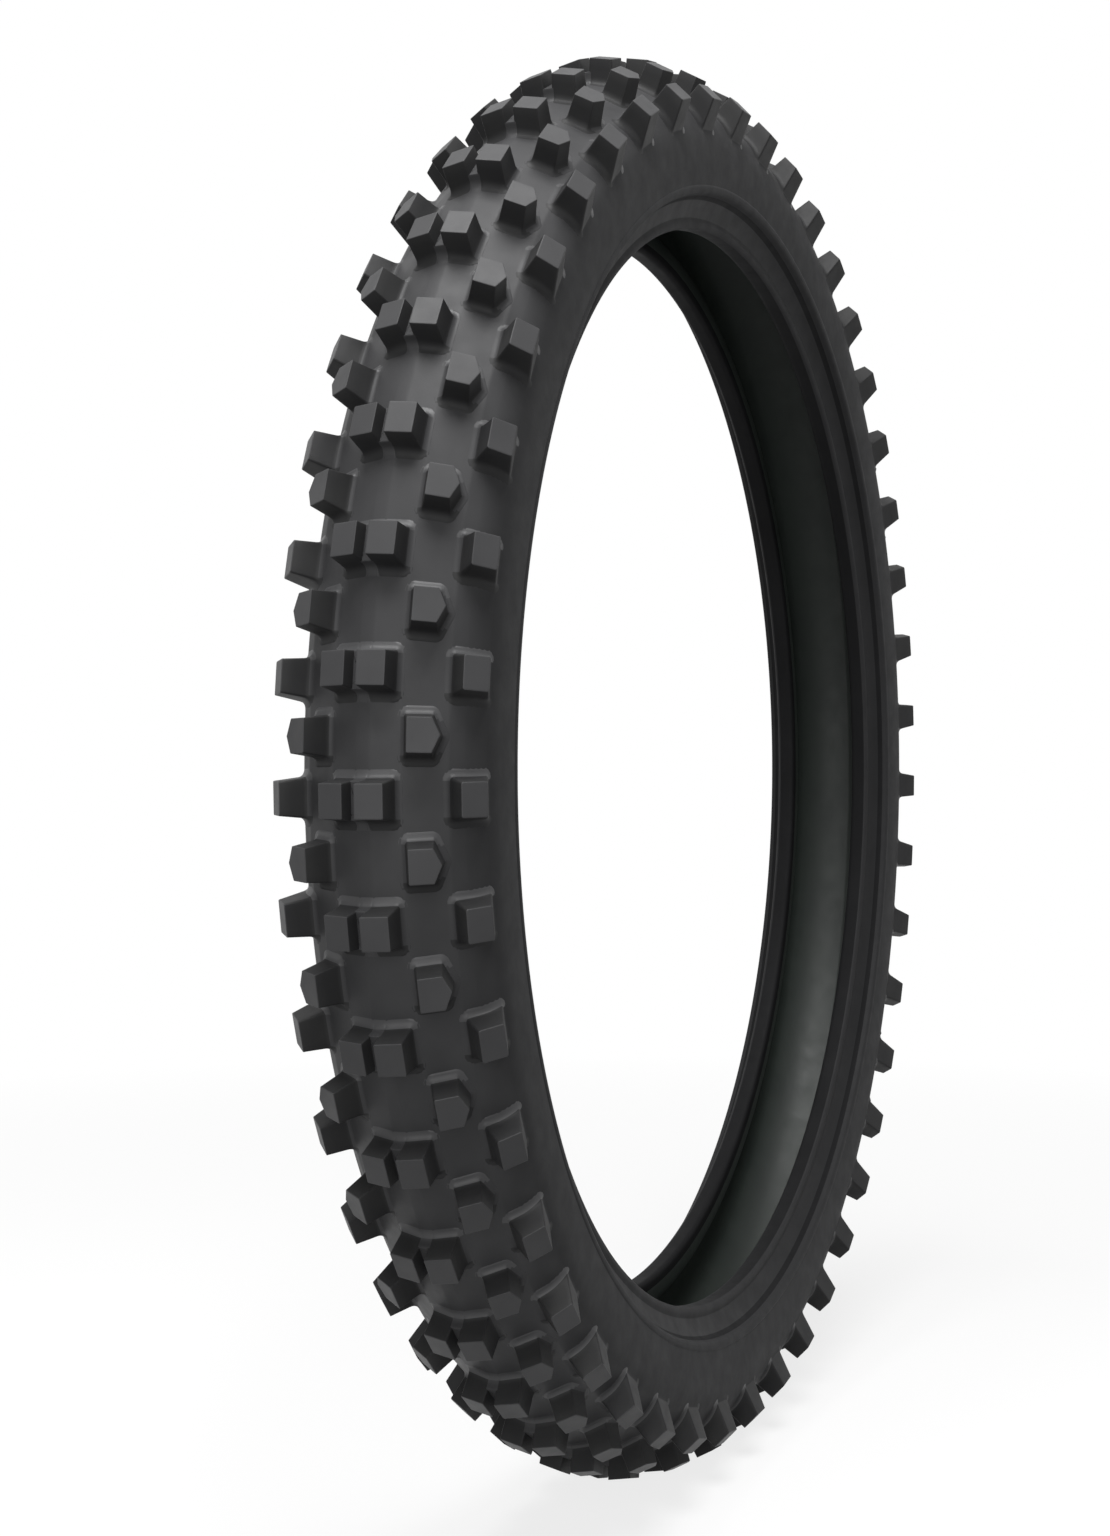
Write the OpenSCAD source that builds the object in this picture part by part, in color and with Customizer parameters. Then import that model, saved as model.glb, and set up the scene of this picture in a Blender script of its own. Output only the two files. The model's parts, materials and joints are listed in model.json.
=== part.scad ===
/* [Bead] */
// Radius of the bead seat, where the tire grips the rim
seat_r = 266.5; // [228:0.5:330]
// Half the distance between the outer faces of the two beads
flange_y = 28.8; // [27:0.1:36]
// Width of each bead across its foot
bead_w = 10; // [9:0.1:14]
// Radius of the rounded heel and toe of each bead
heel_r = 2.4; // [1:0.1:3]
// Radius of the hollow between the bead face and the rim line
cove_r = 7; // [5:0.1:7.4]
// Height of the rim line above the bead seat
rim_line_h = 15.5; // [14:0.1:18]
// Diameter of one turn of bead wire
wire_d = 0.86; // [0.6:0.02:1.1]
// Turns of bead wire along each side of the square bundle
wire_rows = 4; // [3:1:5]

/* [Casing] */
// Height of the casing's centre line above the bead seat, under the blocks
casing_h = 70.5; // [64:0.5:90]
// Radius of the crown arc on each side of the centre line
crown_arc = 50.4; // [47:0.1:58]
// How far each crown arc's centre lies past the centre line, which gives a slight ridge
crown_shift = 4; // [0:0.1:6]
// Tilt at which the crown arc gives way to the sidewall arc
crown_tilt = 46; // [40:1:50]
// Radius of the upper sidewall arc
side_arc = 26; // [22:0.1:30]
// Radius of the flatter lower sidewall arc
wall_arc = 106; // [80:1:200]
// Height above the bead seat at which the plies leave the sidewall
bend_h = 28; // [26:0.1:31]
// Radius of the casing's bend there, measured on the outer face
bend_arc = 12; // [9:0.1:14]
// Tilt at which that bend ends and the plies run straight to the bead
bend_tilt = 132; // [126:1:138]
// Tilt at which the tread base gives way to the sidewall rubber
tread_tilt = 74; // [70:1:80]

/* [Layers] */
// Thickness of the tread base under the blocks
tread_t = 3.4; // [2:0.1:4.5]
// Thickness of the gum cushion
cushion_t = 0.8; // [0.4:0.1:1.2]
// Thickness of the breaker ply
breaker_t = 0.8; // [0.5:0.1:1.2]
// Thickness of each body ply
ply_t = 0.8; // [0.5:0.1:1]
// Thickness of the inner liner
liner_t = 0.8; // [0.5:0.1:1]
// Thickness of the rubber round the outside of the bead
chafer_t = 1.6; // [1.2:0.1:2]
// Thickness of the tape round the bead wire
wrap_t = 0.4; // [0.2:0.05:0.5]
// Height of the turned-up ply ends above the bead seat
turnup_h = 13; // [9:0.5:14]

/* [Blocks] */
// Number of block pitches round the tire
pitches = 45; // [38:1:50]
// Height of the blocks above the casing
block_h = 11.6; // [8:0.1:14]
// Half the length of a block at its top, along the tread
block_half = 6.5; // [4.5:0.1:7]
// Draft of the block walls in degrees
block_draft = 6.5; // [3:0.5:10]
// Half the width of the slot between the two centre blocks, at the top
slot_half = 2.5; // [2:0.1:3.5]
// Width of one centre block at its top
centre_w = 10.7; // [8:0.1:13]
// Height of the tie bar in the slot above the casing
tie_h = 5; // [2:0.1:8]
// Distance of the transition block's inner edge from the centre line, at the top
transition_y = 21.2; // [19:0.1:23]
// Width of the transition block to its corners
transition_w = 8; // [6:0.1:9]
// How far the transition block's point stands past its corners
transition_point = 2.6; // [1:0.1:4]
// Distance of the shoulder block's inner edge from the centre line, at the top
shoulder_y = 38; // [36.5:0.1:40]
// Width of the shoulder block's top, measured across the tire
shoulder_w = 7; // [5:0.1:9]

/* [Hidden] */
$fn = 180;

rubber = "#2a2a2b";
cord_colour = "#8c7a5a";
steel = "#b9995a";

// Profile points are [y, r]: y across the tire from its centre line, r out from the axle.
crown_y = -crown_shift;
casing_r = seat_r + casing_h;
crown_r = casing_r - sqrt(crown_arc * crown_arc - crown_shift * crown_shift);
side_y = crown_y + (crown_arc - side_arc) * sin(crown_tilt);
side_r = crown_r + (crown_arc - side_arc) * cos(crown_tilt);
wall_y = side_y + side_arc - wall_arc;
rim_line_r = seat_r + rim_line_h;
rim_tilt = 90 + asin((side_r - rim_line_r) / wall_arc);
leave_tilt = 90 + asin((side_r - seat_r - bend_h) / wall_arc);
bend_y = wall_y + (wall_arc - bend_arc) * sin(leave_tilt);
bend_r = side_r + (wall_arc - bend_arc) * cos(leave_tilt);

// Depths of the layers below the outer face of the casing
cushion_d = tread_t;
breaker_d = cushion_d + cushion_t;
outer_ply_d = breaker_d + breaker_t;
inner_ply_d = outer_ply_d + ply_t;
liner_d = inner_ply_d + ply_t;
cavity_d = liner_d + liner_t;

// The plies' path round the bead: inner side, bottom, outer side
path_in_y = flange_y - bead_w + liner_t + ply_t;
path_out_y = flange_y - chafer_t - ply_t;
path_r = seat_r + 1.5 + ply_t;
path_round = 2;
turnup_r = seat_r + turnup_h;
liner_end_r = seat_r + 5.5;
wrap_top_r = path_r + ply_t + wrap_t * 2 + wire_rows * (wire_d + 0.04);

function arc_at(cy, cr, radius, tilt) = [cy + radius * sin(tilt), cr + radius * cos(tilt)];
function crown_at(depth, tilt) = arc_at(crown_y, crown_r, crown_arc - depth, tilt);
function side_at(depth, tilt) = arc_at(side_y, side_r, side_arc - depth, tilt);
function wall_at(depth, tilt) = arc_at(wall_y, side_r, wall_arc - depth, tilt);
function bend_at(depth, tilt) = arc_at(bend_y, bend_r, bend_arc - depth, tilt);
function first_tilt(depth) = asin(crown_shift / (crown_arc - depth));
function tilt_at(y, depth) = asin((y - crown_y) / (crown_arc - depth));
function span(a, b, n) = [for (i = [1:n]) a + (b - a) * i / n];
function back(list) = [for (i = [len(list) - 1:-1:0]) list[i]];
function other_side(list) = [for (p = list) [-p[0], p[1]]];

// Block edges, as tilts on the casing face
function foot_tilt(y, lean) = tilt_at(y, -block_h) + lean * foot_spread;
foot_spread = atan(block_h * tan(block_draft) / crown_arc);
centre_in = tilt_at(slot_half, -block_h) * 0.94;
centre_out = foot_tilt(slot_half + centre_w, 1);
transition_in = foot_tilt(transition_y, -1);
transition_out = foot_tilt(transition_y + transition_w + transition_point, 1);
shoulder_in = foot_tilt(shoulder_y, -1);
crown_feet = [centre_in, centre_out, transition_in, transition_out, shoulder_in];

// Tilts of the profile's corners, so that blocks and casing share their edges
function crown_tilts(depth) = concat([first_tilt(depth)], [centre_in], span(centre_in, centre_out, 3),
    span(centre_out, transition_in, 1), span(transition_in, transition_out, 3),
    span(transition_out, shoulder_in, 1), span(shoulder_in, crown_tilt, 1));
side_tilts = span(crown_tilt, tread_tilt, 5);
upper_tilts = concat([tread_tilt], span(tread_tilt, 90, 3));
lower_tilts = span(90, leave_tilt, 2);
bend_tilts = span(leave_tilt, bend_tilt, 4);

function crown_line(depth) = [for (t = crown_tilts(depth)) crown_at(depth, t)];
function tread_line(depth) = concat(crown_line(depth), [for (t = side_tilts) side_at(depth, t)]);
function wall_line(depth) = concat([for (t = upper_tilts) side_at(depth, t)],
    [for (t = lower_tilts) wall_at(depth, t)]);
function bend_line(depth) = [for (t = bend_tilts) bend_at(depth, t)];
function casing_line(depth) = concat(crown_line(depth), [for (t = side_tilts) if (t < tread_tilt) side_at(depth, t)],
    wall_line(depth), bend_line(depth));

// Path of the plies round the bead, offset towards the bead bundle
function knee(offset) =
    let(e = bend_at(inner_ply_d - offset, bend_tilt), y = path_in_y + offset)
    [y, e[1] + (e[0] - y) * tan(bend_tilt)];
function turn(cy, cr, radius, a, b) = [for (i = [0:6]) let(t = a + (b - a) * i / 6)
    [cy + radius * cos(t), cr + radius * sin(t)]];
function wrap_line(offset) = concat(
    turn(path_in_y + path_round, path_r + path_round, path_round - offset, 180, 270),
    turn(path_out_y - path_round, path_r + path_round, path_round - offset, 270, 360));
function ply_line(offset) = concat(casing_line(inner_ply_d - offset), [knee(offset)], wrap_line(offset),
    [[path_out_y - offset, turnup_r]]);
function liner_line(offset) = concat(casing_line(inner_ply_d - offset), [knee(offset)],
    [[path_in_y + offset, liner_end_r]]);

module ring() {
    rotate([-90, 0, 0]) rotate_extrude() children();
}

// A band between two lines that both run from the centre line to one bead, and its mirror image
module full_band(outer, inner) {
    ring() polygon([for (p = concat(back(outer), other_side(outer), back(other_side(inner)), inner)) [p[1], p[0]]]);
}

// A closed outline on one side of the tire: side is -1 for left (-Y), 1 for right (+Y)
module side_ring(outline, side) {
    ring() polygon([for (p = outline) [p[1], side * p[0]]]);
}

module tread_base() {
    color(rubber) full_band(tread_line(0), tread_line(cushion_d));
}

module tread_cushion() {
    color("#3a3a3c") full_band(tread_line(cushion_d), tread_line(breaker_d));
}

module breaker_ply() {
    color(cord_colour) full_band(tread_line(breaker_d), tread_line(outer_ply_d));
}

module body_ply_outer() {
    color(cord_colour) full_band(ply_line(ply_t), ply_line(0));
}

module body_ply_inner() {
    color("#9a8a6a") full_band(ply_line(0), ply_line(-ply_t));
}

module inner_liner() {
    color("#1c1c1d") full_band(liner_line(-ply_t), liner_line(-ply_t - liner_t));
}

module sidewall(side) {
    outer = concat(wall_line(0), [for (t = span(leave_tilt, rim_tilt, 3)) wall_at(0, t)]);
    inner = concat(wall_line(outer_ply_d), bend_line(outer_ply_d));
    color(rubber) side_ring(concat(outer, back(inner)), side);
}

module sidewall_left() {
    sidewall(-1);
}

module sidewall_right() {
    sidewall(1);
}

filler_tip = let(e = bend_at(outer_ply_d, bend_tilt), y = path_out_y - ply_t)
    [y, e[1] + (e[0] - y) * tan(bend_tilt)];

module chafer(side) {
    rim_line = wall_at(0, rim_tilt);
    toe_y = flange_y - bead_w;
    outside = concat(
        [[toe_y, liner_end_r]],
        turn(toe_y + heel_r, seat_r + heel_r, heel_r, 180, 270),
        turn(flange_y - heel_r, seat_r + heel_r, heel_r, 270, 360),
        turn(flange_y + cove_r, rim_line[1] - cove_r, cove_r, 180, 90),
        [rim_line]);
    inside = concat(
        [bend_at(outer_ply_d, bend_tilt)],
        [filler_tip, [path_out_y - ply_t, turnup_r], [path_out_y + ply_t, turnup_r]],
        back(wrap_line(-ply_t)),
        [[path_in_y - ply_t, liner_end_r]]);
    color("#232324") side_ring(concat(outside, inside), side);
}

module chafer_left() {
    chafer(-1);
}

module chafer_right() {
    chafer(1);
}

bundle_y = (path_in_y + path_out_y) / 2;
bundle_r = path_r + ply_t + wrap_t + wire_rows * (wire_d + 0.04) / 2;

module bead_wires(side) {
    pitch = wire_d + 0.04;
    mid = (wire_rows - 1) / 2;
    color(steel) ring() for (i = [0:wire_rows - 1], j = [0:wire_rows - 1])
        translate([bundle_r + (i - mid) * pitch, side * (bundle_y + (j - mid) * pitch)])
            circle(d = wire_d, $fn = 24);
}

module bead_wires_left() {
    bead_wires(-1);
}

module bead_wires_right() {
    bead_wires(1);
}

module bead_wrap(side) {
    half = wire_rows * (wire_d + 0.04) / 2;
    outline = concat(wrap_line(ply_t), [[path_out_y - ply_t, wrap_top_r], [path_in_y + ply_t, wrap_top_r]]);
    color("#77777a") ring() difference() {
        polygon([for (p = outline) [p[1], side * p[0]]]);
        translate([bundle_r, side * bundle_y]) square(2 * half, center = true);
    }
}

module bead_wrap_left() {
    bead_wrap(-1);
}

module bead_wrap_right() {
    bead_wrap(1);
}

module bead_filler(side) {
    in_y = path_in_y + ply_t;
    out_y = path_out_y - ply_t;
    color("#4a4a4c") side_ring([[in_y, wrap_top_r], [out_y, wrap_top_r], filler_tip, knee(ply_t)], side);
}

module bead_filler_left() {
    bead_filler(-1);
}

module bead_filler_right() {
    bead_filler(1);
}

// The leading and trailing faces of one row of blocks: half is the half-length at radius r.
// With a phase of 0, one block stands exactly at the bottom.
module block_slices(r, half, phase, y0, y1) {
    slope = tan(block_draft);
    r0 = r - 4 * block_h;
    r1 = r + block_h;
    for (i = [0:pitches - 1])
        rotate([0, 90 - (i + phase) * 360 / pitches, 0])
            translate([0, y1, 0]) rotate([90, 0, 0]) linear_extrude(y1 - y0)
                polygon([[r0, -half - (r - r0) * slope], [r1, -half + (r1 - r) * slope],
                    [r1, half - (r1 - r) * slope], [r0, half + (r - r0) * slope]]);
}

function top_at(y) = crown_at(-block_h, tilt_at(y, -block_h));
function foot_line(from, to) = [for (t = concat([from], span(from, to, 3))) crown_at(0, t)];
function top_line(from, to) = [for (y = concat([from], span(from, to, 2))) top_at(y)];

module centre_blocks(side) {
    y_out = slot_half + centre_w;
    outline = concat(foot_line(centre_in, centre_out), back(top_line(slot_half, y_out)));
    color(rubber) intersection() {
        side_ring(outline, side);
        block_slices(top_at(y_out)[1], block_half, 0, -crown_arc, crown_arc);
    }
}

module centre_blocks_left() {
    centre_blocks(-1);
}

module centre_blocks_right() {
    centre_blocks(1);
}

module centre_tie_bars() {
    foot = crown_at(0, centre_in);
    top = foot + (top_at(slot_half) - foot) * tie_h / block_h;
    color(rubber) intersection() {
        full_band([[0, top[1]], top, foot], [[0, casing_r], foot]);
        block_slices(top_at(slot_half + centre_w)[1], block_half, 0, -crown_arc, crown_arc);
    }
}

// The pointed outer end of a transition block, as a prism that stands square to the casing
module point_prism(phase, side) {
    y0 = transition_y + transition_w;
    tilt = tilt_at(y0, -block_h);
    reach = crown_arc + 2 * block_h;
    grow = transition_point / block_half;
    wide = 2 * block_half;
    for (i = [0:pitches - 1])
        rotate([0, 90 - (i + phase) * 360 / pitches, 0])
            translate([crown_r, side * crown_y, 0]) rotate([0, 0, side * tilt]) rotate([0, 90, 0])
                linear_extrude(reach)
                    polygon([[-wide, -side * reach / 2], [-wide, side * (transition_point - wide * grow)],
                        [0, side * transition_point], [wide, side * (transition_point - wide * grow)],
                        [wide, -side * reach / 2]]);
}

module transition_blocks(side) {
    y_out = transition_y + transition_w + transition_point;
    outline = concat(foot_line(transition_in, transition_out), back(top_line(transition_y, y_out)));
    color(rubber) intersection() {
        side_ring(outline, side);
        block_slices(top_at(y_out)[1], block_half, 0.5, -crown_arc, crown_arc);
        point_prism(0.5, side);
    }
}

module transition_blocks_left() {
    transition_blocks(-1);
}

module transition_blocks_right() {
    transition_blocks(1);
}

module shoulder_blocks(side) {
    y_out = shoulder_y + shoulder_w;
    feet = concat([crown_at(0, shoulder_in), crown_at(0, crown_tilt)], [for (t = side_tilts) side_at(0, t)]);
    outline = concat(feet, back(top_line(shoulder_y, y_out)));
    color(rubber) intersection() {
        side_ring(outline, side);
        block_slices(top_at(y_out)[1], block_half, 0, -crown_arc, crown_arc);
    }
}

module shoulder_blocks_left() {
    shoulder_blocks(-1);
}

module shoulder_blocks_right() {
    shoulder_blocks(1);
}

tread_base();
tread_cushion();
breaker_ply();
body_ply_outer();
body_ply_inner();
inner_liner();
sidewall_left();
sidewall_right();
chafer_left();
chafer_right();
bead_wires_left();
bead_wires_right();
bead_wrap_left();
bead_wrap_right();
bead_filler_left();
bead_filler_right();
centre_blocks_left();
centre_blocks_right();
centre_tie_bars();
transition_blocks_left();
transition_blocks_right();
shoulder_blocks_left();
shoulder_blocks_right();
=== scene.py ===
import json
import math

import bpy
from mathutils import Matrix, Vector


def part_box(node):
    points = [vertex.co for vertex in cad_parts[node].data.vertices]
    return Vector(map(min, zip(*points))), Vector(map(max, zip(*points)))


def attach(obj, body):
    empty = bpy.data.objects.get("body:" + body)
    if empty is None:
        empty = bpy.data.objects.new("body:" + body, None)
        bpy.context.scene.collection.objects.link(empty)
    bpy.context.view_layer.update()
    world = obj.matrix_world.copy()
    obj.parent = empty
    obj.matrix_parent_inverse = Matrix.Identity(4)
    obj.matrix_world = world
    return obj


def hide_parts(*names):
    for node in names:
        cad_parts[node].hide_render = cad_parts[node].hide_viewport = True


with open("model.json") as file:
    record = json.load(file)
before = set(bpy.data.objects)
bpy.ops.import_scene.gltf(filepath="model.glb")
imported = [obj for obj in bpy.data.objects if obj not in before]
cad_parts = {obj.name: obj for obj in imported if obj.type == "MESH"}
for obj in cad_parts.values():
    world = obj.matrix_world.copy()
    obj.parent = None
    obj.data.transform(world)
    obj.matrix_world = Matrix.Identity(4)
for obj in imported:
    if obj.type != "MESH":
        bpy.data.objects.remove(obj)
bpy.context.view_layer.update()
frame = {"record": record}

# All sizes below are in millimetres, in the tire's own frame: y runs along the axle, and the
# tire's section is drawn as points (y, r), with r measured out from the axle.
MM = 0.001
CASING_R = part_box("tread_base")[1][2] / MM
SEAT_R = frame["record"]["mounts"][0]["dims"]["r_mm"]
LINER_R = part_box("inner_liner")[1][2] / MM
PITCHES = 45
PITCH = 360 / PITCHES
STEPS = 360  # points round the axle in every turned piece

# The section's arcs have these radii. The crown's centre lies past the centre line by its shift,
# and tilts are in degrees from upright, at the place where one arc gives way to the next.
CROWN_ARC, CROWN_SHIFT, CROWN_TILT = 50.4, 4.0, 46
SIDE_ARC, WALL_ARC, BEND_ARC = 26.0, 106.0, 12.0
RIM_LINE_H, BEND_H = 15.5, 28  # how far above the seat the rim line and the start of the bend lie
BEND_END = 132
TREAD_T, LAYER_T, SIDEWALL_T = 3.4, 0.8, 4.8  # thickness of the rubber and of each inner layer
TREAD_END = 74  # tilt of the casing where the tread base gives way to the sidewall
FLAT_BANDS = (2.7, 14.0, 29.2)  # where the crown's flat moulded bands end, from the centre line

BLOCK_H = 11.6
HALF = 6.5  # half a block's length along the tread, at its top
DRAFT = math.tan(math.radians(6.5))
TIE_H, TIE_HALF_WIDTH = 5.4, 2.6
# Between these radii the outer rubber's colour also darkens inwards, as painted shade.
DULL_BELOW, BRIGHT_ABOVE = 311, 323  # radii between which the outer rubber's finish changes


def on_arc(arc, tilt, depth=0.0):
    """The point of an arc (centre y, centre r, radius) whose normal tilts that far from upright."""
    a = math.radians(tilt)
    return (arc[0] + (arc[2] - depth) * math.sin(a), arc[1] + (arc[2] - depth) * math.cos(a))


def above_seat(points):
    """Points (y, height above the bead seat) as section points."""
    return [(y, SEAT_R + height) for y, height in points]


def next_arc(arc, tilt, radius):
    """The arc of another radius that carries on smoothly from this one at that tilt."""
    return (*on_arc(arc, tilt, radius), radius)


# The section's outer line: a crown arc, the upper sidewall, the flatter lower sidewall, and the
# bend below which the inner layers run in to the bead.
CROWN = (-CROWN_SHIFT, CASING_R - math.sqrt(CROWN_ARC**2 - CROWN_SHIFT**2), CROWN_ARC)
SIDE = next_arc(CROWN, CROWN_TILT, SIDE_ARC)
WALL = next_arc(SIDE, 90, WALL_ARC)
RIM_LINE_R = SEAT_R + RIM_LINE_H
RIM_TILT = 90 + math.degrees(math.asin((WALL[1] - RIM_LINE_R) / WALL_ARC))
LEAVE_TILT = 90 + math.degrees(math.asin((WALL[1] - SEAT_R - BEND_H) / WALL_ARC))
BEND = next_arc(WALL, LEAVE_TILT, BEND_ARC)


def crown_at(y, height=0.0):
    """The point of the crown arc, raised by height, that lies y from the centre line."""
    radius = CROWN[2] + height
    return (y, CROWN[1] + math.sqrt(radius**2 - (y - CROWN[0]) ** 2))


def spread(a, b, n):
    """n + 1 even steps from a to b."""
    return [a + (b - a) * i / n for i in range(n + 1)]


def soften(points, reach, n=3):
    """The polyline with each inner corner rounded over reach on both sides."""
    out = [points[0]]
    for a, b, c in zip(points, points[1:], points[2:]):
        a, b, c = Vector(a), Vector(b), Vector(c)
        r1 = min(reach, 0.45 * (a - b).length)
        r2 = min(reach, 0.45 * (c - b).length)
        p, q = b + (a - b).normalized() * r1, b + (c - b).normalized() * r2
        for i in range(n + 1):
            t = i / n
            out.append(tuple(p * (1 - t) ** 2 + b * 2 * t * (1 - t) + q * t**2))
    return out + [points[-1]]


# ---------------------------------------------------------------- section lines
# The crown is moulded as flat bands: a narrow one on the centre line, one under the centre
# blocks and one under the transition blocks. Past them it turns smoothly into the sidewall.
crown_line = soften(
    [(0.0, CASING_R), (FLAT_BANDS[0], CASING_R - 0.15)]
    + [crown_at(y) for y in FLAT_BANDS[1:]]
    + [on_arc(SIDE, t) for t in (50, 53)],
    0.8,
)[:-1]
tread_line = crown_line + [on_arc(SIDE, t) for t in spread(53, TREAD_END, 14)]
wall_line = [on_arc(SIDE, t) for t in spread(TREAD_END, 90, 8)] + [
    on_arc(WALL, t) for t in spread(90, RIM_TILT, 16)[1:]
]
base_line = tread_line + wall_line[1:]

# The rim line stands a little proud of the wall as a rounded rib.
rib_tilts = (RIM_TILT - 2.2, RIM_TILT - 1.95, RIM_TILT - 1.5, RIM_TILT - 0.8)
rib_rise = (0.0, 0.35, 0.55, 0.5)
rib = [(y + up, r) for (y, r), up in zip([on_arc(WALL, t) for t in rib_tilts], rib_rise)]
rim_edge = soften(
    [rib[-1], (rib[-1][0] - 0.55, RIM_LINE_R + 0.2)] + above_seat([(wall_line[-1][0] - 2.2, 14.8)]),
    1.3,
    5,
)
skin_line = [p for p in wall_line if p[1] > rib[0][1] + 0.3] + rib


def lengths(line):
    """The length from the line's start to each of its points."""
    out = [0.0]
    for a, b in zip(line, line[1:]):
        out.append(out[-1] + math.dist(a, b))
    return out


base_lengths = lengths(base_line)


def on_base(q):
    """The point of the casing's outer line at length q from the centre line."""
    if q < 0:
        y, r = on_base(-q)
        return (-y, r)
    for i in range(len(base_line) - 1):
        if q <= base_lengths[i + 1] or i == len(base_line) - 2:
            t = (q - base_lengths[i]) / (base_lengths[i + 1] - base_lengths[i])
            a, b = base_line[i], base_line[i + 1]
            return (a[0] + (b[0] - a[0]) * t, a[1] + (b[1] - a[1]) * t)


def reach_of(y):
    """How far along the casing's outer line the point lies that is y from the centre line."""
    for i in range(len(base_line) - 1):
        a, b = base_line[i], base_line[i + 1]
        if a[0] <= y <= b[0]:
            share = (y - a[0]) / (b[0] - a[0])
            return base_lengths[i] + (base_lengths[i + 1] - base_lengths[i]) * share


# ---------------------------------------------------------------- meshes
def make(name, verts, faces, nodes, sharp=38):
    """A smooth-shaded piece, sharp at edges over that many degrees, that stands for CAD nodes."""
    mesh = bpy.data.meshes.new(name)
    mesh.from_pydata([Vector(v) * MM for v in verts], [], faces)
    mesh.validate()
    mesh.polygons.foreach_set("use_smooth", [True] * len(mesh.polygons))
    mesh.set_sharp_from_angle(angle=math.radians(sharp))
    piece = bpy.data.objects.new(name, mesh)
    bpy.context.scene.collection.objects.link(piece)
    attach(piece, "root")
    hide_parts(*nodes)
    return piece


def lathe(name, outline, side, nodes, sharp=38):
    """A closed outline of (y, r) points turned round the axle. side 1 keeps y, -1 mirrors it."""
    n = len(outline)
    verts, faces = [], []
    for k in range(STEPS):
        a = 2 * math.pi * k / STEPS
        verts += [(r * math.cos(a), side * y, r * math.sin(a)) for y, r in outline]
    for k in range(STEPS):
        b0, b1 = k * n, (k + 1) % STEPS * n
        for i in range(n):
            j = (i + 1) % n
            face = (b0 + i, b0 + j, b1 + j, b1 + i)
            faces.append(face if side > 0 else face[::-1])
    return make(name, verts, faces, nodes, sharp)


def edge_normals(poly):
    """The outward direction of each edge of a polygon that runs anticlockwise."""
    out = []
    for a, b in zip(poly, poly[1:] + poly[:1]):
        d = (Vector(b) - Vector(a)).normalized()
        out.append(Vector((d.y, -d.x)))
    return out


def rounded(poly, radius, reaches, across):
    """Points round a polygon with rounded corners: (place, outward direction, fillet reach)."""
    normals = edge_normals(poly)
    n = len(poly)
    corners = []
    for i, c in enumerate(poly):
        n1, n2 = normals[i - 1], normals[i]
        centre = Vector(c) - (n1 + n2) * radius / (1 + n1.dot(n2))
        ring = []
        for k in range(5):
            t = k / 4
            d = (n1 * (1 - t) + n2 * t).normalized()
            ring.append((centre + d * radius, d, reaches[i - 1] * (1 - t) + reaches[i] * t))
        corners.append(ring)
    points = []
    for i in range(n):
        points += corners[i]
        a, b = corners[i][-1][0], corners[(i + 1) % n][0][0]
        for k in range(1, across):
            points.append((a.lerp(b, k / across), normals[i], reaches[i]))
    return points


def bend(a, b, c, t):
    """A point of the curve that leaves a towards b and arrives at c."""
    return a * (1 - t) ** 2 + b * 2 * t * (1 - t) + c * t**2


def block_shape(top, foot, top_in, top_out, reaches, corner=0.7, edge=0.25):
    """One block at the angle 0, as rings of points from its fillet's edge up to its top.
    top holds corners (u, v): u along the tread, v from top_in towards top_out.
    foot holds the same corners as (u, q): q along the casing's outer line."""
    i0, i1 = Vector(top_in), Vector(top_out)
    run = (i1 - i0).normalized()

    def at_foot(p, sink=0.0):
        y, r = on_base(p.y)
        r -= sink
        return Vector((math.sqrt(r * r - p.x * p.x), y, p.x))

    def at_top(p):
        y, r = i0 + run * p.y
        return Vector((r, y, p.x))

    feet = rounded(foot, corner, reaches, 6)
    tops = rounded(top, corner * 0.7, reaches, 6)
    rings = [[] for _ in range(15)]
    for (f, fd, reach), (t, td, _) in zip(feet, tops):
        outer, low, high = at_foot(f + fd * reach), at_foot(f), at_top(t)
        wall = high - low
        start = low + wall * min(0.8, reach / wall.length)
        rim, flat = high - wall * edge / wall.length, at_top(t - td * edge)
        rings[0].append(at_foot(f + fd * (reach + 0.3), 0.5))
        for k in range(7):
            rings[1 + k].append(bend(outer, low, start, k / 6))
        rings[8].append(start.lerp(rim, 0.5))
        for k in range(4):
            rings[9 + k].append(bend(rim, high, flat, k / 3))
    middle = sum(rings[12], Vector()) / len(rings[12])
    for k, share in ((13, 0.07), (14, 0.3)):
        rings[k] = [p.lerp(middle, share) for p in rings[12]]
    return rings


ring_sizes = {}  # for each row of blocks: faces in a ring, rings of faces, and the row's phase
FILLET_END, WALL_END = 5, 9  # rings of faces from the foot up: first the fillet, then the wall


def block_row(name, rings, side, phase, nodes):
    """A row of blocks, one a pitch, each as one closed-topped shell set into the casing."""
    n, verts, faces = len(rings[0]), [], []
    flip = side < 0
    for k in range(PITCHES):
        a = math.radians(-90 + (k + phase) * PITCH)
        ca, sa = math.cos(a), math.sin(a)
        base = len(verts)
        for ring in rings:
            verts += [(p.x * ca - p.z * sa, side * p.y, p.x * sa + p.z * ca) for p in ring]
        for j in range(len(rings) - 1):
            for i in range(n):
                a0, a1 = base + j * n + i, base + j * n + (i + 1) % n
                face = (a0, a1, a1 + n, a0 + n)
                faces.append(face[::-1] if flip else face)
        cap = tuple(base + (len(rings) - 1) * n + i for i in range(n))
        faces.append(cap[::-1] if flip else cap)
    ring_sizes[name] = (n, len(rings) - 1, phase)
    return make(name, verts, faces, nodes, 50)


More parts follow.
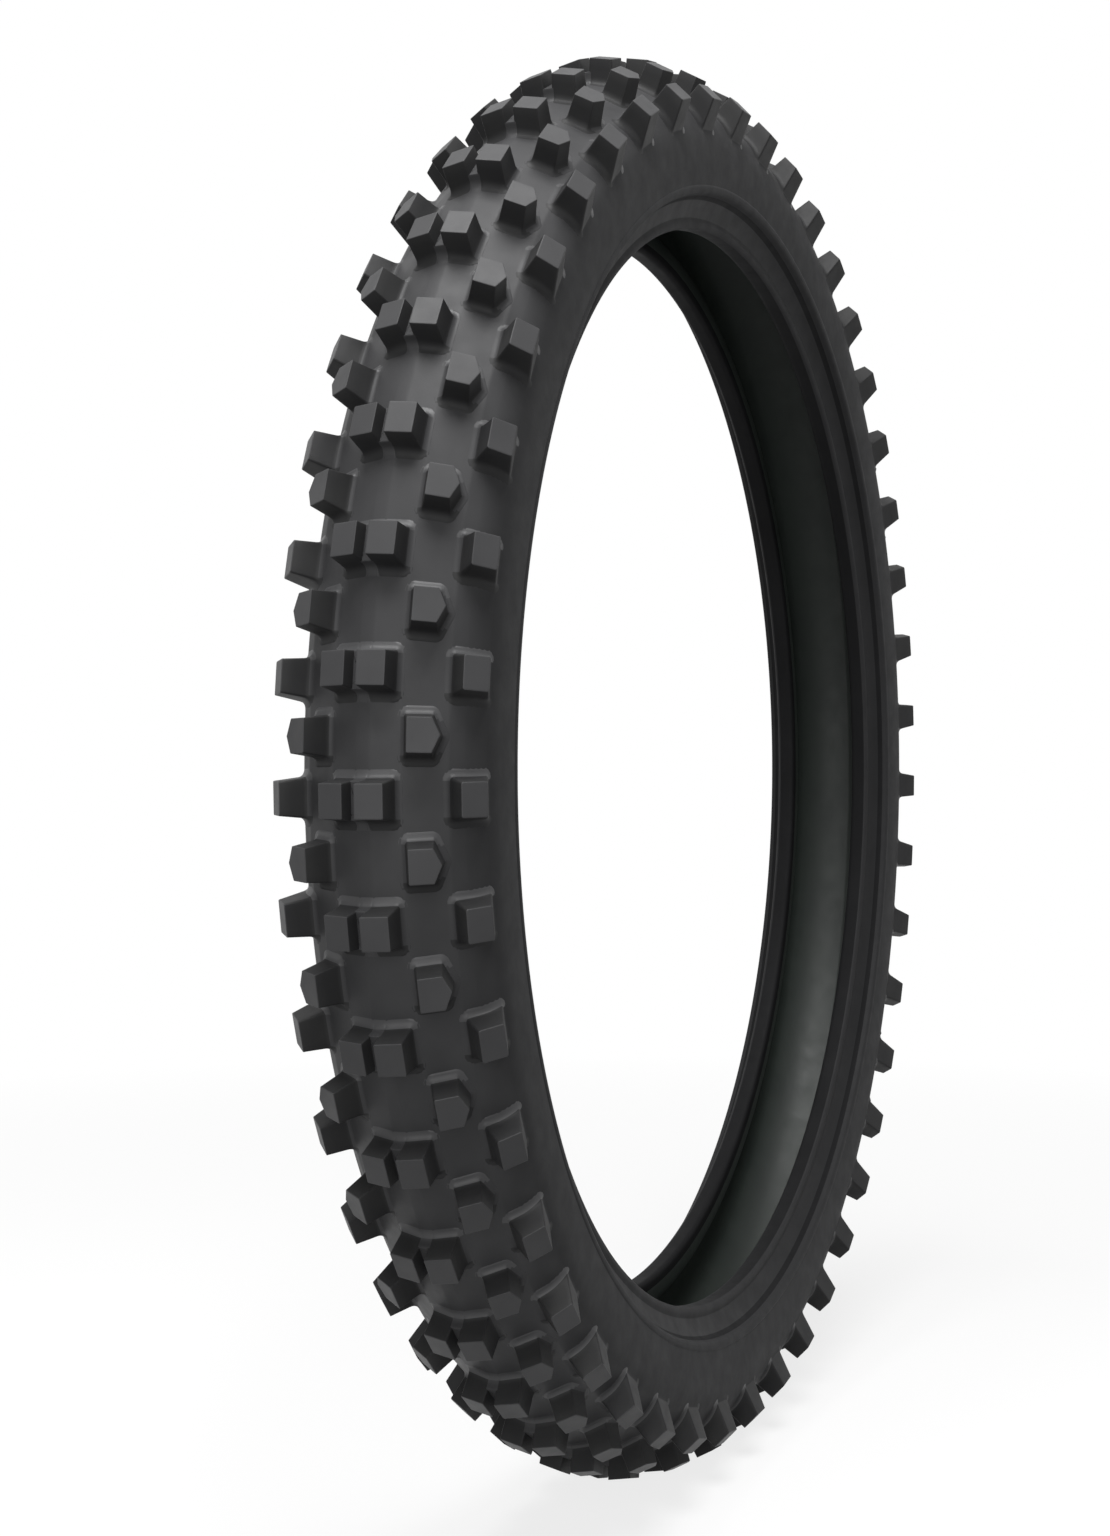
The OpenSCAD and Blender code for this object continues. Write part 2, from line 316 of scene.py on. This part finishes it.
def mark_faces(piece, n, rows, phase):
    """Gives each block's faces one of the piece's four materials: 0 the top, 1 the steep walls and
    the fillet at one end, 2 the side fillets, 3 the fillet at the other end along the tread.
    n faces make a ring. The slots are how the blocks get their painted light and shade."""
    per_block = n * rows + 1
    for k, polygon in enumerate(piece.data.polygons):
        row = k % per_block // n
        a = math.radians(-90 + (k // per_block + phase) * PITCH)
        along = polygon.center.z * math.cos(a) - polygon.center.x * math.sin(a)
        if row >= FILLET_END:
            polygon.material_index = 1 if row < WALL_END else 0
        elif abs(along) < (HALF - 0.5) * MM:
            polygon.material_index = 2
        else:
            polygon.material_index = 3 if along > 0 else 1


# ---------------------------------------------------------------- casing
tread_inner = [on_arc(SIDE, t, TREAD_T) for t in spread(TREAD_END, CROWN_TILT, 6)] + [
    on_arc(CROWN, t, TREAD_T) for t in spread(CROWN_TILT, 5, 8)
]
half = tread_line[1:] + tread_inner
mirrored = [(-y, r) for y, r in reversed(half)]
lathe(
    "tread_base_skin",
    [(0.0, CASING_R)] + half + [(0.0, CASING_R - TREAD_T)] + mirrored,
    1,
    ["tread_base"],
)

# The bead face from the rim line down: the hollow that the rim flange fits into, the groove,
# the rounded bulge above the seat, the seat itself and the toe.
undercut_points = [rim_edge[-1]] + above_seat([(33.7, 14.1), (32.6, 13.2)])
cove_points = above_seat([
    (32.6, 13.2), (32.2, 12.7), (31.0, 11.1), (30.0, 9.3), (29.2, 7.5), (28.6, 6.1), (28.35, 5.3),
])
heel_points = above_seat([
    (28.35, 5.3), (28.45, 4.5), (28.7, 3.7), (28.8, 2.7), (28.65, 1.7), (28.2, 0.8), (27.7, 0.3),
    (27.0, 0.05),
])
seat_points = above_seat([
    (27.0, 0.05), (26.4, 0), (21.6, 0), (20.6, 0.15), (19.6, 0.7), (19.05, 1.5), (18.8, 2.7),
    (18.8, 5.5),
])
LINER_D = TREAD_T + LAYER_T * 5  # depth of the cavity face: tread, cushion, breaker, plies, liner
for side, word in ((-1, "left"), (1, "right")):
    inner = [on_arc(BEND, t, SIDEWALL_T) for t in spread(BEND_END - 4, LEAVE_TILT, 5)]
    inner += [on_arc(WALL, t, SIDEWALL_T) for t in spread(LEAVE_TILT, 90, 3)]
    inner += [on_arc(SIDE, t, SIDEWALL_T) for t in spread(86, TREAD_END, 5)]
    lathe(
        f"sidewall_{word}_skin", skin_line + inner, side, [f"sidewall_{word}"]
    )
    for part, line in (
        ("rim_line", rim_edge + above_seat([(33.5, 16.1), (33.0, 20.5)])),
        ("undercut", undercut_points + above_seat([(32.0, 14.5), (33.5, 16.1)])),
        ("cove", cove_points + above_seat([(26.8, 5.1), (27.5, 12.5), (32.0, 14.5)])),
        ("heel", heel_points + above_seat([(26.6, 2.1), (26.8, 5.1)])),
        ("seat", seat_points + above_seat([(20.4, 5.5), (24.0, 3.0), (26.6, 2.1)])),
    ):
        lathe(f"bead_{part}_{word}_skin", line, side, [f"chafer_{word}"], 50)

# The cavity side: the crown, wall and bend at the liner's depth, then down to the toe.
low = on_arc(BEND, BEND_END, LINER_D)
cavity = (
    [(0.0, LINER_R - LAYER_T)]
    + [on_arc(CROWN, t, LINER_D) for t in spread(6, CROWN_TILT, 14)]
    + [on_arc(SIDE, t, LINER_D) for t in spread(48, 90, 20)]
    + [on_arc(WALL, t, LINER_D) for t in spread(90, LEAVE_TILT, 4)[1:]]
    + [on_arc(BEND, t, LINER_D) for t in spread(LEAVE_TILT, BEND_END, 8)[1:]]
    + soften([low, (19.6, low[1] - 12.0)] + above_seat([(18.8, 7.9), (18.8, 5.5)]), 3.0, 5)[1:]
)
backing = [(y + 0.7, r + 0.5) for y, r in reversed(cavity[1:])]
mirrored = [(-y, r) for y, r in reversed(cavity[1:] + backing)]
lathe(
    "inner_liner_skin",
    cavity + backing + [(0.0, LINER_R)] + mirrored,
    1,
    ["inner_liner"],
    60,
)

# ---------------------------------------------------------------- blocks
foot_half = HALF + BLOCK_H * DRAFT


def four(half, inner, outer):
    """Corners of a four-sided block: half its length along the tread, its inner and outer edge."""
    return [(half, inner), (half, outer), (-half, outer), (-half, inner)]


centre_top = (crown_at(2.5, BLOCK_H), crown_at(13.2, BLOCK_H))
transition_top = (crown_at(21.2, BLOCK_H), crown_at(31.8, BLOCK_H))
shoulder_top = (crown_at(38.0, BLOCK_H), crown_at(45.0, BLOCK_H))
tie_top = ((0.0, CASING_R + TIE_H), (10.0, CASING_R + TIE_H))

for side, word in ((-1, "left"), (1, "right")):
    w = math.dist(*centre_top)
    block_row(
        f"centre_blocks_{word}_skin",
        block_shape(
            four(HALF, 0, w),
            four(foot_half, reach_of(1.1), reach_of(12.2)),
            *centre_top,
            [3.4, 2.6, 3.4, 0.4],
        ),
        side,
        0,
        [f"centre_blocks_{word}"],
    )
    w = math.dist(*transition_top)
    shoulder = w * 8.0 / 10.6  # where the block starts to narrow to its point
    block_row(
        f"transition_blocks_{word}_skin",
        block_shape(
            [(HALF, 0), (HALF, shoulder), (0, w), (-HALF, shoulder), (-HALF, 0)],
            [
                (foot_half, reach_of(15.2)),
                (foot_half, reach_of(24.2)),
                (0, reach_of(27.2)),
                (-foot_half, reach_of(24.2)),
                (-foot_half, reach_of(15.2)),
            ],
            *transition_top,
            [3.4, 2.6, 2.6, 3.4, 2.6],
        ),
        side,
        0.5,
        [f"transition_blocks_{word}"],
    )
    w = math.dist(*shoulder_top)
    block_row(
        f"shoulder_blocks_{word}_skin",
        block_shape(
            four(HALF, 0, w),
            four(foot_half, reach_of(29.3), reach_of(38.5)),
            *shoulder_top,
            [3.2, 1.2, 3.2, 2.4],
            corner=1.1,
            edge=0.3,
        ),
        side,
        0,
        [f"shoulder_blocks_{word}"],
    )
tie_half = HALF + (BLOCK_H - TIE_H) * DRAFT
block_row(
    "centre_tie_bars_skin",
    block_shape(
        four(tie_half, -TIE_HALF_WIDTH, TIE_HALF_WIDTH),
        four(foot_half, -TIE_HALF_WIDTH, TIE_HALF_WIDTH),
        *tie_top,
        [3.4, 0.3, 3.4, 0.3],
        corner=0.2,
        edge=0.4,
    ),
    1,
    0,
    ["centre_tie_bars"],
)


# ---------------------------------------------------------------- materials
def linear(code):
    """An sRGB hex colour as linear RGBA."""
    parts = [int(code[i : i + 2], 16) / 255 for i in (1, 3, 5)]
    return [c / 12.92 if c <= 0.04045 else ((c + 0.055) / 1.055) ** 2.4 for c in parts] + [1.0]


def add(tree, kind, values=None, links=None, **settings):
    """Adds one node with its settings, its input values and the links into it."""
    made = tree.nodes.new(kind)
    for key, value in settings.items():
        setattr(made, key, value)
    for key, value in (values or {}).items():
        made.inputs[key].default_value = value
    for key, source in (links or {}).items():
        tree.links.new(source, made.inputs[key])
    return made


def blank(name):
    """A new material and its empty node tree."""
    material = bpy.data.materials.new(name)
    material.use_nodes = True
    material.node_tree.nodes.clear()
    return material, material.node_tree


def moulded_rubber(
    name, dark, light, rough, shine, grain_mm, grain_depth_mm, ripple=0.0, side=None
):
    """Carbon-black rubber cured in a steel mould: near black, half matt, with the mould's blasted
    grain, cloudy patches of bloom about 28 mm across, and, with ripple, faint turned rings round
    the axle. Real mould grain and tool marks are about 0.1 mm, too fine to show, so they are
    drawn coarser: the grain at grain_mm, the rings about 2 mm apart. With side, the finish is
    duller from the shoulder inwards, and the colour goes over to side there, a darker painted shade."""
    material, tree = blank(name)
    place = add(tree, "ShaderNodeTexCoord").outputs["Object"]
    cloud = add(
        tree, "ShaderNodeTexNoise",
        {"Scale": 1 / (28 * MM), "Detail": 3.0, "Roughness": 0.55},
        {"Vector": place},
    )
    colour = add(tree, "ShaderNodeValToRGB", None, {"Fac": cloud.outputs["Fac"]})
    ramp = colour.color_ramp
    ramp.elements[0].position, ramp.elements[0].color = 0.3, linear(dark)
    ramp.elements[1].position, ramp.elements[1].color = 0.7, linear(light)
    patches = add(
        tree, "ShaderNodeTexNoise",
        {"Scale": 1 / (9 * MM), "Detail": 4.0, "Roughness": 0.6},
        {"Vector": place},
    )
    roughness = add(
        tree, "ShaderNodeMapRange",
        {"From Min": 0.3, "From Max": 0.7, "To Min": rough - 0.05, "To Max": rough + 0.05},
        {"Value": patches.outputs["Fac"]},
    )
    grain = add(
        tree, "ShaderNodeTexNoise",
        {"Scale": 1 / (grain_mm * MM), "Detail": 2.0, "Roughness": 0.5},
        {"Vector": place},
    )
    bump = add(
        tree, "ShaderNodeBump",
        {"Strength": 0.6, "Distance": grain_depth_mm * MM},
        {"Height": grain.outputs["Fac"]},
    )
    split = add(tree, "ShaderNodeSeparateXYZ", None, {"Vector": place})
    round_axle = add(
        tree, "ShaderNodeCombineXYZ", None, {"X": split.outputs["X"], "Y": split.outputs["Z"]}
    )
    radius = add(
        tree, "ShaderNodeVectorMath", None, {0: round_axle.outputs["Vector"]}, operation="LENGTH"
    )
    if ripple:
        rings = add(
            tree, "ShaderNodeCombineXYZ", None,
            {"X": radius.outputs["Value"], "Y": split.outputs["Y"]},
        )
        turned = add(
            tree, "ShaderNodeTexNoise",
            {"Scale": 1 / (2.2 * MM), "Detail": 3.0, "Roughness": 0.6},
            {"Vector": rings.outputs["Vector"]},
        )
        bump = add(
            tree, "ShaderNodeBump",
            {"Strength": 1.0, "Distance": ripple * MM},
            {"Height": turned.outputs["Fac"], "Normal": bump.outputs["Normal"]},
        )
    finish = roughness.outputs["Result"]
    shade = colour.outputs["Color"]
    # Inwards of the shoulder the finish goes duller, and the colour goes over to side, a darker painted
    # shade.
    if side:
        inward = add(
            tree, "ShaderNodeMapRange",
            {
                "From Min": DULL_BELOW * MM, "From Max": BRIGHT_ABOVE * MM,
                "To Min": 1.0, "To Max": 0.0,
            },
            {"Value": radius.outputs["Value"]},
        ).outputs["Result"]
        finish = add(
            tree, "ShaderNodeMath", {1: 0.2}, {0: inward, 2: finish}, operation="MULTIPLY_ADD"
        ).outputs["Value"]
        shade = add(
            tree, "ShaderNodeMix", {7: linear(side)}, {0: inward, 6: shade}, data_type="RGBA"
        ).outputs[2]
    shader = add(
        tree, "ShaderNodeBsdfPrincipled",
        {"IOR": 1.52, "Metallic": 0.0, "Specular IOR Level": shine},
        {
            "Base Color": shade,
            "Roughness": finish,
            "Normal": bump.outputs["Normal"],
        },
    )
    add(tree, "ShaderNodeOutputMaterial", None, {"Surface": shader.outputs["BSDF"]})
    return material


def cord_fabric(name, gum, cord, lean):
    """Nylon tire cord in skim rubber: parallel cords 1.1 mm apart round the tire, set at an
    angle by lean, drawn as ridges with a darker gum between them."""
    material, tree = blank(name)
    place = add(tree, "ShaderNodeTexCoord").outputs["Object"]
    split = add(tree, "ShaderNodeSeparateXYZ", None, {"Vector": place})
    angle = add(
        tree, "ShaderNodeMath", None,
        {0: split.outputs["Z"], 1: split.outputs["X"]}, operation="ARCTAN2",
    )
    along = add(tree, "ShaderNodeMath", {1: 0.33}, {0: angle.outputs["Value"]}, operation="MULTIPLY")
    across = add(tree, "ShaderNodeMath", {1: lean}, {0: split.outputs["Y"]}, operation="MULTIPLY")
    total = add(
        tree, "ShaderNodeMath", None,
        {0: along.outputs["Value"], 1: across.outputs["Value"]}, operation="ADD",
    )
    phase = add(
        tree, "ShaderNodeMath", {1: 2 * math.pi / (1.1 * MM)}, {0: total.outputs["Value"]},
        operation="MULTIPLY",
    )
    wave = add(tree, "ShaderNodeMath", None, {0: phase.outputs["Value"]}, operation="SINE")
    level = add(
        tree, "ShaderNodeMapRange", {"From Min": -0.6, "From Max": 0.8}, {"Value": wave.outputs["Value"]}
    )
    colour = add(tree, "ShaderNodeValToRGB", None, {"Fac": level.outputs["Result"]})
    colour.color_ramp.elements[0].color = linear(gum)
    colour.color_ramp.elements[1].color = linear(cord)
    bump = add(
        tree, "ShaderNodeBump", {"Strength": 1.0, "Distance": 0.2 * MM}, {"Height": wave.outputs["Value"]}
    )
    shader = add(
        tree, "ShaderNodeBsdfPrincipled",
        {"IOR": 1.5, "Roughness": 0.75},
        {"Base Color": colour.outputs["Color"], "Normal": bump.outputs["Normal"]},
    )
    add(tree, "ShaderNodeOutputMaterial", None, {"Surface": shader.outputs["BSDF"]})
    return material


def bead_steel(name):
    """Drawn steel wire with a thin bronze plating: a soft metal shine with a fine
    mottle of lighter and darker bronze."""
    material, tree = blank(name)
    place = add(tree, "ShaderNodeTexCoord").outputs["Object"]
    marks = add(
        tree, "ShaderNodeTexNoise", {"Scale": 1 / (0.4 * MM), "Detail": 3.0}, {"Vector": place}
    )
    colour = add(tree, "ShaderNodeValToRGB", None, {"Fac": marks.outputs["Fac"]})
    colour.color_ramp.elements[0].color = linear("#8f6a3c")
    colour.color_ramp.elements[1].color = linear("#c79c5c")
    roughness = add(
        tree, "ShaderNodeMapRange", {"To Min": 0.25, "To Max": 0.45}, {"Value": marks.outputs["Fac"]}
    )
    shader = add(
        tree, "ShaderNodeBsdfPrincipled",
        {"Metallic": 1.0},
        {"Base Color": colour.outputs["Color"], "Roughness": roughness.outputs["Result"]},
    )
    add(tree, "ShaderNodeOutputMaterial", None, {"Surface": shader.outputs["BSDF"]})
    return material


# Tread and sidewall rubber: half matt on the tread band and duller on the sidewalls, where its darker
# colour is painted shade.
tread_rubber = moulded_rubber(
    "tyre_rubber_moulded", "#303031", "#373738", 0.5, 0.15, 0.9, 0.035, 0.004, "#262627"
)
# The blocks are of the tread's rubber with painted light and shade: the tops a little lighter
# (painted light), the steep walls and the fillet at one end darker (painted shade), and the
# fillet at the other end lightest (a painted highlight).
block_painted_light = moulded_rubber("block_rubber_moulded", "#313132", "#383839", 0.5, 0.2, 0.9, 0.035)
# Painted shade: the blocks' steep walls and the fillet at one end are drawn darker.
block_wall_painted_shade = moulded_rubber(
    "block_wall_rubber_moulded", "#212122", "#282828", 0.55, 0.14, 0.9, 0.035
)
# Painted highlight: the fillet at the other end of each block is drawn lightest.
fillet_painted_highlight = moulded_rubber("fillet_rubber_moulded", "#3a3a3b", "#424243", 0.45, 0.25, 0.9, 0.035)
# Bead rubber, moulded against turned steel rings: matt, with faint rings round the axle. The
# cove is drawn a little darker, as painted shade in the groove; the seat is much darker, as
# painted shade, and the undercut below the rim line much darker, as a painted shadow.
cove_painted_shade = moulded_rubber(
    "bead_face_rubber_moulded", "#222223", "#272728", 0.55, 0.09, 0.8, 0.02, 0.004
)
seat_painted_shade = moulded_rubber(
    "bead_seat_rubber_moulded", "#151516", "#1a1a1b", 0.6, 0.06, 0.8, 0.02, 0.008
)
# Liner rubber, cured against a rubber bladder: a faintly green black with a soft sheen.
liner_rubber = moulded_rubber(
    "liner_rubber_bladder_cured", "#1d2320", "#232925", 0.55, 0.45, 1.2, 0.03, 0.02
)
# Calendered gum for the cushion and bead filler: a slightly browner black with a soft sheen.
gum_rubber = moulded_rubber("gum_rubber_calendered", "#2a2a29", "#333230", 0.6, 0.5, 0.7, 0.02)
# Rubberised tape wound round the bead wires: grey threads in black gum.
tape = cord_fabric("wrap_tape_rubberised", "#2a2a2b", "#5a5a58", 0.2)
# The plies' tan cords show through their skim of gum, and lean opposite ways in turn.
ply_a = cord_fabric("nylon_cord_ply_one", "#2b2722", "#8c7a5a", 1.0)
ply_b = cord_fabric("nylon_cord_ply_two", "#2b2722", "#8c7a5a", -1.0)
wire = bead_steel("bead_wire_bronze_plated")

pieces = {
    "tread_base_skin": tread_rubber,
    "centre_tie_bars_skin": tread_rubber,
    "inner_liner_skin": liner_rubber,
    "tread_cushion": gum_rubber,
    "breaker_ply": ply_a,
    "body_ply_outer": ply_b,
    "body_ply_inner": ply_a,
}
for word in ("left", "right"):
    pieces[f"centre_blocks_{word}_skin"] = block_painted_light
    pieces[f"transition_blocks_{word}_skin"] = block_painted_light
    pieces[f"shoulder_blocks_{word}_skin"] = block_painted_light
    pieces[f"sidewall_{word}_skin"] = tread_rubber
    pieces[f"bead_rim_line_{word}_skin"] = tread_rubber
    pieces[f"bead_undercut_{word}_skin"] = seat_painted_shade
    pieces[f"bead_cove_{word}_skin"] = cove_painted_shade
    pieces[f"bead_heel_{word}_skin"] = tread_rubber
    pieces[f"bead_seat_{word}_skin"] = seat_painted_shade
    pieces[f"bead_wires_{word}"] = wire
    pieces[f"bead_wrap_{word}"] = tape
    pieces[f"bead_filler_{word}"] = gum_rubber
for name, material in pieces.items():
    mesh = bpy.data.objects[name].data
    mesh.materials.clear()
    mesh.materials.append(material)
    # Slots for the blocks' painted light and shade: 1 darker walls and fillet at one end (painted shade),
    # 3 the fillet at the other end (painted highlight); the tie bars' walls take the lighter top shade
    # (painted light).
    if name in ring_sizes:
        walls = block_painted_light if name == "centre_tie_bars_skin" else block_wall_painted_shade
        for finish in (walls, tread_rubber, fillet_painted_highlight):
            mesh.materials.append(finish)
        mark_faces(bpy.data.objects[name], *ring_sizes[name])


# ---------------------------------------------------------------- studio
def seen_rays(tree):
    """1 for what the camera, gloss and glass see, 0 for the soft light that surfaces share."""
    ray = add(tree, "ShaderNodeLightPath")
    some = add(
        tree, "ShaderNodeMath", None,
        {0: ray.outputs["Is Camera Ray"], 1: ray.outputs["Is Glossy Ray"]}, operation="MAXIMUM",
    )
    seen = add(
        tree, "ShaderNodeMath", None,
        {0: some.outputs["Value"], 1: ray.outputs["Is Transmission Ray"]}, operation="MAXIMUM",
    )
    return seen.outputs["Value"]


ground = min(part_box(f"centre_blocks_{word}")[0][2] for word in ("left", "right"))
floor_mesh = bpy.data.meshes.new("studio_floor")
floor_mesh.from_pydata(
    [(-30, -30, ground), (30, -30, ground), (30, 30, ground), (-30, 30, ground)], [], [(0, 1, 2, 3)]
)
floor = bpy.data.objects.new("studio_floor", floor_mesh)
bpy.context.scene.collection.objects.link(floor)
# White paper: near the tire a fifth of it takes the shadows, and further out it is plain white.
# The light that it throws back on to the tire is that of a mid grey.
paper, tree = blank("white_paper_sweep")
place = add(tree, "ShaderNodeTexCoord").outputs["Object"]
away = add(tree, "ShaderNodeVectorMath", None, {0: place}, operation="LENGTH")
share = add(
    tree, "ShaderNodeMapRange",
    {"From Min": 0.6, "From Max": 1.5, "To Min": 0.8, "To Max": 1.0},
    {"Value": away.outputs["Value"]},
)
grey = add(tree, "ShaderNodeBsdfDiffuse", {"Color": linear("#9c9c9c")})
pale = add(tree, "ShaderNodeBsdfDiffuse", {"Color": linear("#fafafa")})
glow = add(tree, "ShaderNodeEmission", {"Color": (1, 1, 1, 1), "Strength": 1.0})
white = add(
    tree, "ShaderNodeMixShader", None,
    {0: share.outputs["Result"], 1: pale.outputs["BSDF"], 2: glow.outputs["Emission"]},
)
mixed = add(
    tree, "ShaderNodeMixShader", None,
    {0: seen_rays(tree), 1: grey.outputs["BSDF"], 2: white.outputs["Shader"]},
)
add(tree, "ShaderNodeOutputMaterial", None, {"Surface": mixed.outputs["Shader"]})
floor_mesh.materials.append(paper)

world = bpy.data.worlds.new("studio_world")
bpy.context.scene.world = world
world.use_nodes = True
tree = world.node_tree
tree.nodes.clear()
dim = add(tree, "ShaderNodeBackground", {"Color": (1, 1, 1, 1), "Strength": 0.08})
white = add(tree, "ShaderNodeBackground", {"Color": (1, 1, 1, 1), "Strength": 1.0})
mixed = add(
    tree, "ShaderNodeMixShader", None,
    {0: seen_rays(tree), 1: dim.outputs["Background"], 2: white.outputs["Background"]},
)
add(tree, "ShaderNodeOutputWorld", None, {"Surface": mixed.outputs["Shader"]})


def softbox(name, azimuth, elevation, distance, width, height, watts):
    """A soft square lamp that looks at the tire's centre from that direction."""
    a, e = math.radians(azimuth), math.radians(elevation)
    toward = Vector((math.cos(a) * math.cos(e), math.sin(a) * math.cos(e), math.sin(e)))
    lamp = bpy.data.lights.new(name, "AREA")
    lamp.shape, lamp.size, lamp.size_y, lamp.energy = "RECTANGLE", width, height, watts
    holder = bpy.data.objects.new(name, lamp)
    holder.location = toward * distance
    holder.rotation_euler = (-toward).to_track_quat("-Z", "Y").to_euler()
    bpy.context.scene.collection.objects.link(holder)


softbox("overhead_softbox", 14, 66, 1.9, 1.3, 1.3, 64)
softbox("front_fill", 14, 8, 1.9, 1.3, 1.3, 16)

camera_data = bpy.data.cameras.new("camera")
camera = bpy.data.objects.new("camera", camera_data)
bpy.context.scene.collection.objects.link(camera)
camera_data.sensor_fit = "VERTICAL"
camera_data.sensor_height = 36.0
camera_data.lens = 48.889453
camera_data.clip_end = 100
DISTANCE = 1.0727  # metres from the axle's middle, at the height of the axle
around = math.radians(19.94)
turn = math.radians(3.364)
camera.location = (DISTANCE * math.cos(around), DISTANCE * math.sin(around), 0.0)
forward = Vector((-math.cos(around), -math.sin(around), 0.0))
rightward = Vector((-math.sin(around), math.cos(around), 0.0))
look = forward * math.cos(turn) - rightward * math.sin(turn)
camera.rotation_euler = look.to_track_quat("-Z", "Y").to_euler()
bpy.context.scene.camera = camera
bpy.context.scene.view_settings.view_transform = "Standard"
